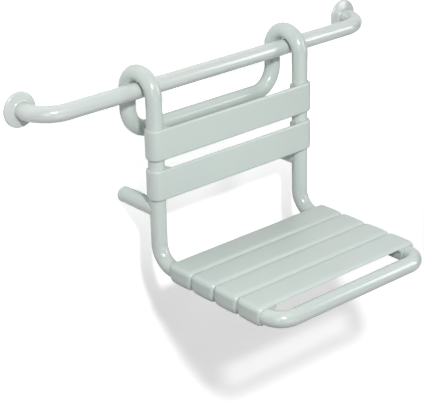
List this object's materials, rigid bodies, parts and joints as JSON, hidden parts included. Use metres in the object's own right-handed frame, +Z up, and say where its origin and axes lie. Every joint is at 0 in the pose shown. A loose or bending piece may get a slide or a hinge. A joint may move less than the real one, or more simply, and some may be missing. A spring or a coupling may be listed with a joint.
{
  "type": "hang-on shower seat",
  "caption": "Slatted shower seat and backrest on a bent nylon-sheathed tube frame that hooks over a wall grab rail and rests on standoffs against the wall",
  "frame": {"origin": "on the wall plane, level with the rail's axis and midway between the rail's flanges", "axes": "X runs along the rail, +Y into the wall, +Z up; the seat faces -Y"},
  "size_m": [0.959, 0.5351, 0.4397],
  "materials": {
    "rail_nylon": "gloss pale grey-green nylon",
    "frame_nylon": "gloss pale grey-green nylon",
    "slat_nylon": "satin-gloss pale grey-green nylon",
    "buffer_nylon": "satin pale grey-green nylon",
    "core_steel": "drawn steel tube",
    "screw_steel": "stainless steel"
  },
  "bodies": {
    "wall_rail": {"rail_tube": "rail_nylon", "rail_core": "core_steel", "flange_plate_left": "core_steel", "rosette_left": "rail_nylon", "wall_screw_left_1": "screw_steel", "wall_screw_left_2": "screw_steel", "wall_screw_left_3": "screw_steel", "flange_plate_right": "core_steel", "rosette_right": "rail_nylon", "wall_screw_right_1": "screw_steel", "wall_screw_right_2": "screw_steel", "wall_screw_right_3": "screw_steel"},
    "seat": {"frame_upper_tube": "frame_nylon", "frame_upper_core": "core_steel", "frame_lower_tube": "frame_nylon", "frame_lower_core": "core_steel", "joint_pin_left": "core_steel", "standoff_tube_left": "frame_nylon", "standoff_core_left": "core_steel", "wall_buffer_left": "buffer_nylon", "joint_pin_right": "core_steel", "standoff_tube_right": "frame_nylon", "standoff_core_right": "core_steel", "wall_buffer_right": "buffer_nylon", "seat_slat_1": "slat_nylon", "seat_slat_2": "slat_nylon", "seat_slat_3": "slat_nylon", "seat_slat_4": "slat_nylon", "back_slat_upper": "slat_nylon", "back_slat_lower": "slat_nylon", "slat_screw_seat_slat_1_left": "screw_steel", "slat_screw_seat_slat_1_right": "screw_steel", "slat_screw_seat_slat_2_left": "screw_steel", "slat_screw_seat_slat_2_right": "screw_steel", "slat_screw_seat_slat_3_left": "screw_steel", "slat_screw_seat_slat_3_right": "screw_steel", "slat_screw_seat_slat_4_left": "screw_steel", "slat_screw_seat_slat_4_right": "screw_steel", "slat_screw_back_slat_upper_left": "screw_steel", "slat_screw_back_slat_upper_right": "screw_steel", "slat_screw_back_slat_lower_left": "screw_steel", "slat_screw_back_slat_lower_right": "screw_steel"}
  },
  "joints": [
    {"name": "seat_swing", "type": "hinge", "parent": "wall_rail", "child": "seat", "pos_m": [-0.006, -0.076, -0.00838], "axis": [-1, 0, 0], "range_deg": [0, 60]}
  ]
}
